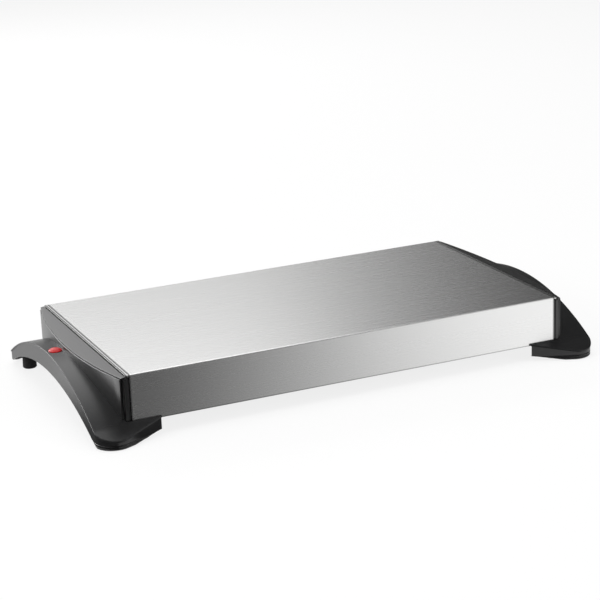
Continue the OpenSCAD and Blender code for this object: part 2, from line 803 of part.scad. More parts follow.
module inlet_screws() {
    color(zinc) for (s = [-1, 1]) translate([inlet_x + s * ear_pitch / 2, cover_y + flange_t, inlet_z])
        rotate([90, 0, 0]) screw_up(0, 0, 0, flange_t + sheet_t + 2);
}

// Heater
module heat_spreader() {
    color("silver") slab(heater_x0, heater_x1, -heater_y, heater_y, spreader_z, under_top);
}
module tube_round(x, y0, dir) {
    translate([x, y0 + bend_r, tube_z]) rotate([0, 0, dir > 0 ? -90 : 90])
        rotate_extrude(angle = 180, $fn = 96) translate([bend_r, 0]) circle(r = tube_r, $fn = 32);
}
module heating_element() {
    y0 = -(tube_passes - 1) * pitch / 2;
    xa = tube_x0 + bend_r;
    xb = tube_x1 - bend_r;
    color("dimgray") union() {
        for (i = [0:tube_passes - 1]) {
            lo = i == 0 || i == tube_passes - 1 ? tube_x0 : xa;
            translate([lo, y0 + i * pitch, tube_z]) rotate([0, 90, 0])
                cylinder(h = xb - lo, r = tube_r, $fn = 32);
        }
        for (i = [0:tube_passes - 2]) tube_round(i % 2 == 0 ? xb : xa, y0 + i * pitch, i % 2 == 0 ? 1 : -1);
    }
}
module element_terminals() {
    y0 = (tube_passes - 1) * pitch / 2;
    color(ceramic) front_and_back() translate([tube_x0, y0, tube_z]) rotate([0, -90, 0]) {
        cylinder(h = 10, r = tube_r - 0.4, $fn = 32);
        cylinder(h = tube_x0 - heater_x0 + 12, r = 1.4, $fn = 32);
    }
}
module clamp_at(x, y) {
    wide = tube_r + 9;
    translate([x, y, tube_z]) difference() {
        union() {
            rotate([0, 90, 0]) cylinder(h = 10, r = tube_r + 1.1, $fn = 48, center = true);
            slab(-5, 5, -wide, wide, spreader_z - tube_z - 1, spreader_z - tube_z);
        }
        rotate([0, 90, 0]) cylinder(h = 12, r = tube_r + 0.1, $fn = 48, center = true);
        slab(-6, 6, -tube_r - 0.1, tube_r + 0.1, 0, spreader_z - tube_z + 1);
        slab(-6, 6, -wide - 1, wide + 1, spreader_z - tube_z, 20);
    }
}
module element_clamps() {
    y0 = -(tube_passes - 1) * pitch / 2;
    color("silver") for (i = [0:tube_passes - 1]) for (x = [tube_x0 + clamp_in, tube_x1 - clamp_in])
        clamp_at(x, y0 + i * pitch);
}
module heat_shield() {
    y0 = (tube_passes - 1) * pitch / 2;
    color("lightgray") difference() {
        slab(heater_x0 + 1, heater_x1 - 1, -heater_y + 1, heater_y - 1, shield_z, spreader_z);
        slab(heater_x0 + 1 + shield_t, heater_x1 - 1 - shield_t,
            -heater_y + 1 + shield_t, heater_y - 1 - shield_t, shield_z + shield_t, spreader_z + 1);
        for (y = [-y0, y0]) slab(heater_x0, heater_x0 + 3, y - 3.2, y + 3.2, tube_z - 3.2, spreader_z + 1);
        slab(heater_x0, heater_x0 + 3, -8, 8, spreader_z - 6, spreader_z + 1);
    }
}
module insulation_mat() {
    color("wheat") slab(heater_x0 + 1, heater_x1 - 1, -heater_y + 1, heater_y - 1, mat_z, shield_z);
}
module rail_section() {
    h = mat_z - base_top - bead_h;
    t = rail_t;
    w = rail_top / 2;
    translate([-w, h - t]) square([2 * w, t]);
    for (s = [-1, 1]) {
        translate([s * (w - t / 2) - t / 2, 0]) square([t, h]);
        translate([s * (w + 6) - 7, 0]) square([14, t]);
    }
}
module support_rails() {
    step = (heater_x1 - heater_x0) / rail_count;
    color(zinc) for (i = [0:rail_count - 1])
        translate([heater_x0 + (i + 0.5) * step, heater_y - 4, base_top + bead_h]) rotate([90, 0, 0])
            linear_extrude(2 * heater_y - 8) rail_section();
}

// Controls and wiring
module thermostat() {
    color("tan") translate([thermostat_x, 0, spreader_z]) {
        translate([0, 0, -5]) cylinder(h = 5, r = 8.5, $fn = 48);
        translate([0, 0, -8.5]) cylinder(h = 4, r = 7, $fn = 48);
        for (s = [-1, 1]) slab(s * 10 - 5, s * 10 + 5, -2.4, 2.4, -8, -7.2);
    }
}
module thermal_fuse() {
    color("white") translate([fuse_x, 0, spreader_z - 2.4]) rotate([0, 90, 0]) {
        cylinder(h = 14, r = 2, $fn = 32, center = true);
        cylinder(h = 26, r = 0.6, $fn = 24, center = true);
    }
}
module fuse_clip() {
    color(zinc) translate([fuse_x, 0, spreader_z]) difference() {
        union() {
            slab(-4, 4, -3.2, 3.2, -5.4, 0);
            slab(-4, 4, -9, 9, -0.8, 0);
        }
        translate([0, 0, -2.4]) rotate([0, 90, 0]) cylinder(h = 10, r = 2.2, $fn = 32, center = true);
        slab(-5, 5, -2.2, 2.2, -2.4, 1);
    }
}
module terminal_block() {
    color(ceramic) difference() {
        slab(block_x - 9, block_x + 9, -18, 18, base_top, base_top + block_h);
        for (y = [-12, 0, 12]) {
            translate([block_x - 10, y, base_top + 9]) rotate([0, 90, 0]) cylinder(h = 20, r = 2.2, $fn = 32);
            translate([block_x - 4, y, base_top + 9]) cylinder(h = 10, r = 2, $fn = 32);
            translate([block_x + 4, y, base_top + 9]) cylinder(h = 10, r = 2, $fn = 32);
        }
    }
}
module earth_stud() {
    color("gold") translate([block_x, -34, base_top]) {
        cylinder(h = 2.4, r = 4, $fn = 6);
        cylinder(h = 10, r = 2, $fn = 32);
    }
}
module live_lead() {
    x = block_x + 9.3;
    color("brown") lead([live_tab, live_tab + [0, -6, -1], [x + 12, cover_y * 0.57, wire_z + 5],
        [x + 12, 30, wire_z + 2], [x + 9, 14, wire_z], [x + 4, 12, wire_z], [x, 12, wire_z]], wire_r);
}
module neutral_lead() {
    x = block_x - 9.3;
    color("blue") lead([neutral_tab, neutral_tab + [0, -6, -1], [x - 6, cover_y * 0.57, wire_z + 5],
        [x - 6, 30, wire_z + 2], [x - 6, 4, wire_z], [x - 4, 0, wire_z], [x, 0, wire_z]], wire_r);
}
module earth_lead() {
    x = block_x - 1;
    color("green") lead([earth_tab, earth_tab + [0, -6, 1], [x, cover_y / 2, loop_z], [x, 10, loop_z - 2],
        [x, -24, loop_z - 4], [block_x, -33, base_top + 18], [block_x, -34, base_top + 10.3]], wire_r);
}
module heater_leads() {
    x = block_x + 9.3;
    y = (tube_passes - 1) * pitch / 2;
    z = (2 * wire_z + tube_z) / 3;
    color("red") {
        lead([[x, 0, wire_z], [x + 5, 2, wire_z], [x + 8, 20, z], [heater_x0 - 14, y - 10, tube_z - 3],
            [heater_x0 - 12.3, y, tube_z]], wire_r);
        lead([[x, -12, wire_z], [x + 5, -14, wire_z], [x + 8, -32, z], [heater_x0 - 14, 10 - y, tube_z - 3],
            [heater_x0 - 12.3, -y, tube_z]], wire_r);
    }
}
module lamp_leads() {
    z = lamp_seat - 9.5;
    color("black") for (s = [-1, 1]) {
        wide = lamp_c + s * 1.9;
        y = lamp_c + s * 1.4;
        lead([[lamp_x, wide, z], [lamp_x + 1, wide, z - 1.4], [lamp_x + 7, y, lead_hole_z],
            [-cover_x - 2, y, lead_hole_z], [-cover_x + 12, y, lead_hole_z - 2],
            [block_x - 16, y - 20, wire_z + 4], [block_x - 13, -12 + s * 1.2, wire_z],
            [block_x - 9.3, -12 + s * 1.2, wire_z]], wire_r * 0.7);
    }
}

placed() top_cover();
placed() base_plate();
placed() base_screws();
placed() left_end_cap();
placed() right_end_cap();
placed() left_handle();
placed() right_handle();
placed() left_grip_panel();
placed() right_grip_panel();
placed() grip_screws();
placed() handle_screws();
placed() front_left_foot();
placed() front_right_foot();
placed() back_left_foot();
placed() back_right_foot();
placed() foot_screws();
placed() pilot_lamp_lens();
placed() pilot_lamp_holder();
placed() pilot_lamp_bulb();
placed() appliance_inlet();
placed() inlet_pins();
placed() inlet_screws();
placed() heat_spreader();
placed() heating_element();
placed() element_terminals();
placed() element_clamps();
placed() heat_shield();
placed() insulation_mat();
placed() support_rails();
placed() thermostat();
placed() thermal_fuse();
placed() fuse_clip();
placed() terminal_block();
placed() earth_stud();
placed() live_lead();
placed() neutral_lead();
placed() earth_lead();
placed() heater_leads();
placed() lamp_leads();
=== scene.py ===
# Looks of an electric food warmer tray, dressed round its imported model. Metres, +Z up.
import math

import bmesh
import bpy
from mathutils import Matrix, Vector


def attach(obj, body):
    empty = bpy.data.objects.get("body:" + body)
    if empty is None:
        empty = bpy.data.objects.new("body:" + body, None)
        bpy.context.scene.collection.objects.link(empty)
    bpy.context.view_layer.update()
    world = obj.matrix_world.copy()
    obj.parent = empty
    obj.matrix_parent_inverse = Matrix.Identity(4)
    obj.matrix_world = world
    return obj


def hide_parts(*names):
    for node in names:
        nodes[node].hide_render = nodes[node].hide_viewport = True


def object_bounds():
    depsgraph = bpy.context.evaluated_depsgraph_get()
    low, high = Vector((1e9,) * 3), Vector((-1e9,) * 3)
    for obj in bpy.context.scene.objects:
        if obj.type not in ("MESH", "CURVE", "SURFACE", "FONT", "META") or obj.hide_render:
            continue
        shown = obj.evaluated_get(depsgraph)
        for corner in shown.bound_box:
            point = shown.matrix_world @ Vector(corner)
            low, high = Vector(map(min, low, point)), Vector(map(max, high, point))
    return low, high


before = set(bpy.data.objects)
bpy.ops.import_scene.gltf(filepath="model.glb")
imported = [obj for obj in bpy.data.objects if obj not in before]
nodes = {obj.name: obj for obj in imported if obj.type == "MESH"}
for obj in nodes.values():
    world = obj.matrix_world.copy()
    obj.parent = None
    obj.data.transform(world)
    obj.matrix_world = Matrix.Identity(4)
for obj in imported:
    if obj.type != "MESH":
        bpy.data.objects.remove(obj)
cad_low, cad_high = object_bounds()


# Camera. The tray stands turned to the left, seen from a little above through a long lens,
# and the photograph leans by about two degrees.
camera_place = (-0.802815, -1.818723, 0.689342)
camera_turn = math.radians(-23.944)
camera_rise = math.radians(17.327)
camera_roll = math.radians(-2.263)
lens_mm = 111.22
sensor_mm = 36.0

back = Vector((math.sin(camera_turn) * math.cos(camera_rise),
               -math.cos(camera_turn) * math.cos(camera_rise),
               math.sin(camera_rise)))
level = (-back).cross(Vector((0, 0, 1))).normalized()
upright = level.cross(-back)
right = math.cos(camera_roll) * level + math.sin(camera_roll) * upright
up = math.cos(camera_roll) * upright - math.sin(camera_roll) * level

camera_data = bpy.data.cameras.new("camera")
camera_data.lens = lens_mm
camera_data.sensor_width = sensor_mm
camera_data.clip_end = 50
camera = bpy.data.objects.new("camera", camera_data)
bpy.context.collection.objects.link(camera)
camera.matrix_world = Matrix.Translation(camera_place) @ Matrix((right, up, back)).transposed().to_4x4()
bpy.context.scene.camera = camera
bpy.context.scene.view_settings.view_transform = "Standard"


# Table and backdrop. The tray stands on a flat white table that takes its soft shadow. What
# lies beyond is white to the eye and in mirrors, and dimmer where it only lights the tray.
def surface(name, colour, roughness, metallic=0.0):
    material = bpy.data.materials.new(name)
    material.use_nodes = True
    shader = material.node_tree.nodes["Principled BSDF"]
    shader.inputs["Base Color"].default_value = (*colour, 1)
    shader.inputs["Roughness"].default_value = roughness
    shader.inputs["Metallic"].default_value = metallic
    return material, material.node_tree, shader


def plain_mesh(name, bm, material):
    mesh = bpy.data.meshes.new(name)
    bm.to_mesh(mesh)
    bm.free()
    mesh.materials.append(material)
    piece = bpy.data.objects.new(name, mesh)
    bpy.context.collection.objects.link(piece)
    return piece


def emitter(tree, strength, colour=(1, 1, 1)):
    glow = tree.nodes.new("ShaderNodeEmission")
    glow.inputs["Color"].default_value = (*colour, 1)
    glow.inputs["Strength"].default_value = strength
    return glow


def seen_rays(tree, share):
    rays = tree.nodes.new("ShaderNodeLightPath")
    mirrored = tree.nodes.new("ShaderNodeMath")
    mirrored.operation = "MAXIMUM"
    either = tree.nodes.new("ShaderNodeMath")
    either.operation = "MAXIMUM"
    weight = tree.nodes.new("ShaderNodeMath")
    weight.operation = "MULTIPLY"
    weight.inputs[1].default_value = share
    tree.links.new(rays.outputs["Is Glossy Ray"], mirrored.inputs[0])
    tree.links.new(rays.outputs["Is Transmission Ray"], mirrored.inputs[1])
    tree.links.new(rays.outputs["Is Camera Ray"], either.inputs[0])
    tree.links.new(mirrored.outputs[0], either.inputs[1])
    tree.links.new(either.outputs[0], weight.inputs[0])
    return weight


table_size = 6.0
table_colour = (0.9, 0.9, 0.9)
table_share = 0.82
sky_on_the_tray = 0.45
sky_to_the_eye = 1.0
table_white, table_tree, table_shader = surface("table_white", table_colour, roughness=0.9)
table_shader.inputs["Specular IOR Level"].default_value = 0.0
table_blend = table_tree.nodes.new("ShaderNodeMixShader")
table_tree.links.new(seen_rays(table_tree, table_share).outputs[0], table_blend.inputs[0])
table_tree.links.new(table_shader.outputs[0], table_blend.inputs[1])
table_tree.links.new(emitter(table_tree, 1.0).outputs[0], table_blend.inputs[2])
table_tree.links.new(table_blend.outputs[0], table_tree.nodes["Material Output"].inputs["Surface"])
bm = bmesh.new()
bmesh.ops.create_grid(bm, x_segments=1, y_segments=1, size=table_size)
table = plain_mesh("table_top", bm, table_white)

world = bpy.data.worlds.new("studio")
bpy.context.scene.world = world
world.use_nodes = True
world_tree = world.node_tree
soft_sky = world_tree.nodes["Background"]
soft_sky.inputs["Color"].default_value = (1, 1, 1, 1)
soft_sky.inputs["Strength"].default_value = sky_on_the_tray
white_sky = world_tree.nodes.new("ShaderNodeBackground")
white_sky.inputs["Strength"].default_value = sky_to_the_eye
world_blend = world_tree.nodes.new("ShaderNodeMixShader")
world_tree.links.new(seen_rays(world_tree, 1.0).outputs[0], world_blend.inputs[0])
world_tree.links.new(soft_sky.outputs[0], world_blend.inputs[1])
world_tree.links.new(white_sky.outputs[0], world_blend.inputs[2])
world_tree.links.new(world_blend.outputs[0], world_tree.nodes["World Output"].inputs["Surface"])


# Studio lights and cards. Soft boxes light the tray from the left, the back, the front and
# above. The cards are for mirrored rays alone: grey, dark and bright fields that fade into each
# other, on domes round the tray and just over the table, which the steel and the plastic show.
def soft_box(name, place, target, width, height, watts):
    data = bpy.data.lights.new(name, "AREA")
    data.shape = "RECTANGLE"
    data.size = width
    data.size_y = height
    data.energy = watts
    lamp = bpy.data.objects.new(name, data)
    bpy.context.collection.objects.link(lamp)
    aim = (Vector(target) - Vector(place)).to_track_quat("-Z", "Y")
    lamp.matrix_world = Matrix.Translation(place) @ aim.to_matrix().to_4x4()
    lamp.visible_glossy = False


soft_box("left_box", (-2.2, -0.4, 1.2), (0, 0, 0.05), width=1.4, height=1.2, watts=26)
soft_box("back_box", (0.1, 2.4, 1.4), (0, 0, 0.05), width=1.4, height=1.0, watts=22)
soft_box("front_box", (1.4, -1.9, 1.2), (0.1, 0, 0.04), width=1.0, height=0.9, watts=10)
soft_box("top_box", (-0.2, -0.2, 2.4), (0, 0, 0), width=1.8, height=1.8, watts=22)


# A card is clear up to one place along a direction and full from the other one on.
def fade(tree, place, direction, clear_at, full_at):
    along = tree.nodes.new("ShaderNodeVectorMath")
    along.operation = "DOT_PRODUCT"
    along.inputs[1].default_value = direction
    step = tree.nodes.new("ShaderNodeMapRange")
    step.interpolation_type = "SMOOTHSTEP"
    step.inputs["From Min"].default_value = clear_at
    step.inputs["From Max"].default_value = full_at
    tree.links.new(place.outputs["Object"], along.inputs[0])
    tree.links.new(along.outputs["Value"], step.inputs["Value"])
    return step.outputs["Result"]


def card_material(name, strength, fades, most=1.0):
    card = bpy.data.materials.new(name)
    card.use_nodes = True
    tree = card.node_tree
    place = tree.nodes.new("ShaderNodeTexCoord")
    clear = tree.nodes.new("ShaderNodeBsdfTransparent")
    blend = tree.nodes.new("ShaderNodeMixShader")
    share = None
    for direction, clear_at, full_at in fades:
        times = tree.nodes.new("ShaderNodeMath")
        times.operation = "MULTIPLY"
        times.inputs[1].default_value = most
        tree.links.new(fade(tree, place, direction, clear_at, full_at), times.inputs[0])
        if share:
            tree.links.new(share, times.inputs[1])
        share = times.outputs[0]
    tree.links.new(share, blend.inputs[0])
    tree.links.new(clear.outputs[0], blend.inputs[1])
    tree.links.new(emitter(tree, strength).outputs[0], blend.inputs[2])
    tree.links.new(blend.outputs[0], tree.nodes["Material Output"].inputs["Surface"])
    return card


def for_mirrored_rays(piece):
    piece.visible_camera = False
    piece.visible_diffuse = False
    piece.visible_transmission = False
    piece.visible_shadow = False


def card_dome(name, radius, kept, material):
    bm = bmesh.new()
    bmesh.ops.create_uvsphere(bm, u_segments=96, v_segments=48, radius=radius)
    out = [face for face in bm.faces if not kept(face.calc_center_median() / radius)]
    bmesh.ops.delete(bm, geom=out, context="FACES")
    for_mirrored_rays(plain_mesh(name, bm, material))


def card_floor(name, corners, material):
    bm = bmesh.new()
    bm.faces.new([bm.verts.new((*corner, card_height)) for corner in corners])
    for_mirrored_rays(plain_mesh(name, bm, material))


# A way is the direction from the tray to a place on a dome, with a length of about one.
dome_r = 4.0
card_gap = 0.1
card_height = 0.002
x_way = (1 / dome_r, 0, 0)
y_way = (0, 1 / dome_r, 0)
z_way = (0, 0, 1 / dome_r)
along_y = (0, 1, 0)
front_half = -0.25
everywhere = (-1.0, -0.5)

card_dome("back_card", dome_r, lambda way: way.z > 0 and way.y > front_half,
          card_material("back_grey", 0.46, [(z_way, *everywhere)]))
card_dome("right_card", dome_r - card_gap / 2,
          lambda way: way.z > 0 and way.y > front_half and way.x > 0.3,
          card_material("right_dark", 0.02, [(x_way, 0.32, 0.60)]))
card_dome("front_card", dome_r, lambda way: way.z > 0 and way.y <= front_half,
          card_material("front_grey", 0.06, [(x_way, 0.56, 0.24)], most=0.97))
card_dome("top_card", dome_r - card_gap, lambda way: way.z > 0.8 and way.y > front_half,
          card_material("top_dark", 0.10, [(z_way, 0.83, 0.95)]))
card_dome("high_glow", dome_r - 2 * card_gap,
          lambda way: way.z > 0.4 and way.x < 0.42 and way.y > front_half,
          card_material("high_white", 2.12, [(z_way, 0.42, 0.51), (z_way, 0.95, 0.83),
                                             (x_way, 0.40, 0.32)]))
card_dome("left_glow", dome_r - 3 * card_gap,
          lambda way: 0.2 < way.z < 0.9 and -0.6 < way.x < 0.12 and way.y > 0,
          card_material("left_white", 2.7, [(z_way, 0.22, 0.34), (z_way, 0.87, 0.71),
                                            (x_way, 0.10, 0.02), (x_way, -0.55, -0.45)]))
card_dome("edge_glow", dome_r - 4 * card_gap,
          lambda way: 0.15 < way.z < 0.45 and -0.65 < way.x < -0.1 and way.y > 0,
          card_material("edge_white", 11.0, [(z_way, 0.17, 0.22), (z_way, 0.42, 0.34),
                                             (x_way, -0.17, -0.24), (x_way, -0.58, -0.48)]))
card_dome("side_glow", dome_r - 5 * card_gap,
          lambda way: 0 < way.z < 0.4 and way.x < -0.55 and way.y > 0.3,
          card_material("side_white", 12.0, [(z_way, 0.38, 0.25), (x_way, -0.58, -0.70),
                                             (y_way, 0.34, 0.42)]))

steel_front_y = -0.1425
steel_back_y = 0.1325
pad_left_x = -0.272
pad_right_x = -0.24
pad_patch_y = -0.19
far_left_x = -1.2
far_right_x = 1.6
far_front_y = -3.0
card_floor("front_floor_card", [(far_left_x, far_front_y), (far_right_x, far_front_y),
                                (far_right_x, steel_front_y), (pad_right_x, steel_front_y),
                                (pad_right_x, pad_patch_y), (pad_left_x, pad_patch_y),
                                (pad_left_x, steel_front_y), (far_left_x, steel_front_y)],
           card_material("front_floor_grey", 0.06, [((1, 0.45, 0), 0.22, -0.36),
                                                    ((1, 0.33, 0), -0.70, -0.50)], most=0.97))
corner_left_x = -0.8
corner_front_y = -0.105
corner_back_y = 0.09
wall_card_left_x = -0.48
wall_card_right_x = -0.36
wall_card_front_y = -0.10
wall_card_back_y = 0.14
under_half = 0.24
# Painted shadow: a dark field, seen only in mirrors, where the left pad and the left skirt shade the
# table.
card_floor("corner_shadow_card", [(corner_left_x, steel_front_y), (pad_left_x, steel_front_y),
                           (pad_left_x, corner_back_y), (wall_card_right_x, corner_back_y),
                           (wall_card_right_x, corner_front_y), (corner_left_x, corner_front_y)],
           card_material("corner_shadow_grey", 0.08, [(along_y, corner_back_y, -0.11)], most=0.97))
card_floor("wall_glow", [(wall_card_left_x, wall_card_front_y), (wall_card_right_x, wall_card_front_y),
                         (wall_card_right_x, wall_card_back_y), (wall_card_left_x, wall_card_back_y)],
           card_material("wall_white", 4.0, [(along_y, wall_card_back_y, 0.04)]))
# Painted shadow: a dark field, seen only in mirrors, where the tray shades the table beneath it.
card_floor("under_shadow_card", [(-under_half, steel_front_y), (under_half, steel_front_y),
                          (under_half, steel_back_y), (-under_half, steel_back_y)],
           card_material("under_shadow_grey", 0.12, [(along_y, *everywhere)], most=0.97))


# Angles between the two faces of an edge, in radians.
one_face = math.radians(0.6)
turned_edge = 0.5
rounded_edge = 0.6


def merged_copy(node, name, edge_width, widest, segments):
    piece = bpy.data.objects.new(name, nodes[node].data.copy())
    bpy.context.collection.objects.link(piece)
    bm = bmesh.new()
    bm.from_mesh(piece.data)
    bmesh.ops.remove_doubles(bm, verts=bm.verts, dist=1e-6)
    bmesh.ops.dissolve_limit(bm, angle_limit=one_face, verts=bm.verts, edges=bm.edges)
    weight = bm.edges.layers.float.new("bevel_weight_edge")
    for edge in bm.edges:
        if len(edge.link_faces) == 2 and edge.is_convex and edge.calc_face_angle() > rounded_edge:
            high, low = sorted(edge.link_faces, key=lambda face: -face.normal.z)
            middle = (edge.verts[0].co + edge.verts[1].co) / 2
            edge[weight] = edge_width(high.normal, low.normal, middle) / widest
    for face in bm.faces:
        face.smooth = True
    for edge in bm.edges:
        turned = len(edge.link_faces) == 2 and edge.calc_face_angle() > turned_edge
        edge.smooth = not turned or edge[weight] > 0
    bm.to_mesh(piece.data)
    bm.free()
    piece.data.materials.clear()
    rounding = piece.modifiers.new("rounded edges", "BEVEL")
    rounding.width = widest
    rounding.segments = segments
    rounding.limit_method = "WEIGHT"
    rounding.use_clamp_overlap = False
    even = piece.modifiers.new("flat faces stay flat", "WEIGHTED_NORMAL")
    even.keep_sharp = True
    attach(piece, "root")
    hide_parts(node)
    return piece


def grained(name, colour, roughness, grain, depth, spread, rough_spread,
            metallic=0.0, stretch=(1, 1, 1), detail=4.0):
    material, tree, shader = surface(name, colour, roughness, metallic)
    place = tree.nodes.new("ShaderNodeTexCoord")
    turn = tree.nodes.new("ShaderNodeMapping")
    turn.inputs["Scale"].default_value = stretch
    noise = tree.nodes.new("ShaderNodeTexNoise")
    noise.inputs["Scale"].default_value = grain
    noise.inputs["Detail"].default_value = detail
    bump = tree.nodes.new("ShaderNodeBump")
    bump.inputs["Distance"].default_value = depth
    bump.inputs["Strength"].default_value = 1.0
    tint = tree.nodes.new("ShaderNodeMix")
    tint.data_type = "RGBA"
    tint.inputs["A"].default_value = (*[c * (1 - spread) for c in colour], 1)
    tint.inputs["B"].default_value = (*[min(1, c * (1 + spread)) for c in colour], 1)
    dull = tree.nodes.new("ShaderNodeMapRange")
    dull.inputs["To Min"].default_value = roughness - rough_spread
    dull.inputs["To Max"].default_value = roughness + rough_spread
    tree.links.new(place.outputs["Object"], turn.inputs["Vector"])
    tree.links.new(turn.outputs["Vector"], noise.inputs["Vector"])
    tree.links.new(noise.outputs["Fac"], bump.inputs["Height"])
    tree.links.new(noise.outputs["Fac"], tint.inputs["Factor"])
    tree.links.new(noise.outputs["Fac"], dull.inputs["Value"])
    tree.links.new(tint.outputs["Result"], shader.inputs["Base Color"])
    tree.links.new(dull.outputs["Result"], shader.inputs["Roughness"])
    tree.links.new(bump.outputs["Normal"], shader.inputs["Normal"])
    return material


def shader_of(material):
    return material.node_tree.nodes["Principled BSDF"]


steel_colour = (0.90, 0.90, 0.895)
brushed_steel = grained("brushed_steel", steel_colour, roughness=0.27, metallic=1.0, grain=1.0,
                        stretch=(2, 1500, 1500), depth=0.0000002, spread=0.015, rough_spread=0.015)
steel_tree = brushed_steel.node_tree
steel_shader = shader_of(brushed_steel)
steel_shader.inputs["Anisotropic"].default_value = 0.45
along = steel_tree.nodes.new("ShaderNodeTangent")
along.direction_type = "UV_MAP"
along.uv_map = "brushing"
steel_tree.links.new(along.outputs["Tangent"], steel_shader.inputs["Tangent"])

# Painted light in the steel's colour. Painted shade darkens it over the shoulder inside each pressed
# line. A painted highlight lifts it again over the narrow strip outside the line. Painted shade darkens
# the last of the sheet at each end, and the front's lower edge.
line_inner_x = 0.2490
line_outer_x = 0.2502
sheet_end_x = 0.2520
lower_edge_z = 0.0187
painted_line_shade = 0.0014
painted_line_shine = 0.0001
painted_end_shade = 0.0006
painted_lower_shade = 0.0010
parts = steel_tree.nodes.new("ShaderNodeSeparateXYZ")
in_place = steel_tree.nodes.new("ShaderNodeTexCoord")
steel_tree.links.new(in_place.outputs["Object"], parts.inputs["Vector"])
out_from_middle = steel_tree.nodes.new("ShaderNodeMath")
out_from_middle.operation = "ABSOLUTE"
steel_tree.links.new(parts.outputs["X"], out_from_middle.inputs[0])
toned = steel_shader.inputs["Base Color"].links[0].from_socket
for place, starts_at, full_at, tone in (
        (out_from_middle.outputs[0], line_inner_x - painted_line_shade, line_inner_x, 0.30),
        (out_from_middle.outputs[0], line_outer_x, line_outer_x + painted_line_shine, 2.8),
        (out_from_middle.outputs[0], sheet_end_x - painted_end_shade, sheet_end_x, 0.25),
        (parts.outputs["Z"], lower_edge_z + painted_lower_shade, lower_edge_z, 0.6)):
    band = steel_tree.nodes.new("ShaderNodeMapRange")
    band.inputs["From Min"].default_value = starts_at
    band.inputs["From Max"].default_value = full_at
    band.inputs["To Min"].default_value = 1.0
    band.inputs["To Max"].default_value = tone
    steel_tree.links.new(place, band.inputs["Value"])
    times = steel_tree.nodes.new("ShaderNodeVectorMath")
    times.operation = "MULTIPLY"
    steel_tree.links.new(toned, times.inputs[0])
    steel_tree.links.new(band.outputs["Result"], times.inputs[1])
    toned = times.outputs["Vector"]
steel_tree.links.new(toned, steel_shader.inputs["Base Color"])

top_z = cad_high.z
upper_side = 0.0005
both_sides = 0.001
fold_foot_z = 0.0181
cover_round = 0.0008
cover_fine = 0.0003
squarely = 0.9


# An edge is rounded by its place and by the way its upper and its lower face look.
def cover_edge(high, low, middle):
    if middle.z > top_z - both_sides and line_inner_x < abs(middle.x) < line_outer_x:
        return 0
    if middle.z < fold_foot_z and low.z < -squarely and abs(high.y) > squarely:
        return cover_round
    return cover_fine


cover = merged_copy("top_cover", "steel_cover", cover_edge, cover_round, segments=3)
cover.data.materials.append(brushed_steel)
# Painted shade in the pressed lines: the faces of each groove get a near-black steel.
groove_shade_colour = (0.06, 0.06, 0.06)
groove_shade_steel = grained("pressed_line_painted_shade", groove_shade_colour, roughness=0.4, metallic=1.0, grain=1.0,
                     stretch=(2, 1500, 1500), depth=0.0000004, spread=0.05, rough_spread=0.05)
cover.data.materials.append(groove_shade_steel)
spare = 0.0001
for face in cover.data.polygons:
    in_groove_shade = line_inner_x + spare < abs(face.center.x) < line_outer_x - spare
    if in_groove_shade and face.center.z > top_z - upper_side:
        face.material_index = 1
brushing = cover.data.uv_layers.new(name="brushing")
for loop in cover.data.loops:
    place = cover.data.vertices[loop.vertex_index].co
    brushing.data[loop.index].uv = (place.y + place.z, place.x)


# End caps. Injection moulded in a dark plastic with a fine eroded grain, each with a lens-shaped
# top, and held by a screw from below in its front and its back boss. They mirror a little more
# than the handles.
plastic_colour = (0.008, 0.008, 0.0084)
dark_plastic = grained("dark_plastic", plastic_colour, roughness=0.32, grain=1100, depth=0.000016,
                       spread=0.15, rough_spread=0.04)
cap_plastic = grained("cap_plastic", plastic_colour, roughness=0.34, grain=1100, depth=0.000016,
                      spread=0.15, rough_spread=0.04)
shader_of(cap_plastic).inputs["Specular IOR Level"].default_value = 0.85
cap_round = 0.0003


def cap_edge(high, low, middle):
    return cap_round


for side in ("left", "right"):
    cap = merged_copy(side + "_end_cap", side + "_cap_moulding", cap_edge, cap_round, segments=2)
    cap.data.materials.append(cap_plastic)


# Handles. Shells moulded in the same grained plastic, each with a bowed wall, an arched grip and
# two pads. The edge along the rim grows rounder round the pads, and the wall's upper edge and
# the pads' lower edge lie between its finest and its roundest.
wall_rim_z = 0.0605
wall_round = 0.0009
lip_fine = 0.0007
lip_full = 0.0014
pad_foot_z = 0.006
pad_round = 0.0009
lip_under_z = 0.008
lip_under_round = 0.0002
partly = 0.3
hardly = 0.2
rounder_from = 0.35
roundest_from = 0.85


def handle_edge(high, low, middle):
    if high.z > partly and abs(low.z) < hardly:
        if middle.z > wall_rim_z:
            return wall_round
        share = min(1, max(0, (abs(low.y) - rounder_from) / (roundest_from - rounder_from)))
        return lip_fine + (lip_full - lip_fine) * share * share * (3 - 2 * share)
    if low.z < -squarely and abs(high.z) < hardly and middle.z < pad_foot_z:
        return pad_round
    if low.z < -partly and abs(high.z) < hardly and middle.z > lip_under_z:
        return lip_under_round
    return 0


for side in ("left", "right"):
    handle = merged_copy(side + "_handle", side + "_handle_moulding", handle_edge, lip_full, segments=4)
    handle.data.materials.append(dark_plastic)


# Closing panels under the grips. Moulded in the same plastic, a shade lighter and duller, and
# screwed on from below, so that the handles are closed to the hand.
def dress(node, material):
    mesh = nodes[node].data
    mesh.materials.clear()
    mesh.materials.append(material)


panel_colour = (0.010, 0.010, 0.011)
panel_plastic = grained("panel_plastic", panel_colour, roughness=0.45, grain=700, depth=0.00001,
                        spread=0.12, rough_spread=0.05)
dress("left_grip_panel", panel_plastic)
dress("right_grip_panel", panel_plastic)


# Rubber feet. Black rubber pads, matt and slightly mottled, under the four pads of the handles.
# Each is held by a screw in its well.
rubber_colour = (0.008, 0.008, 0.008)
rubber = grained("rubber", rubber_colour, roughness=0.75, grain=500, depth=0.00002, spread=0.25,
                 rough_spread=0.08)
shader_of(rubber).inputs["Specular IOR Level"].default_value = 0.25
for corner in ("front_left", "front_right", "back_left", "back_right"):
    dress(corner + "_foot", rubber)


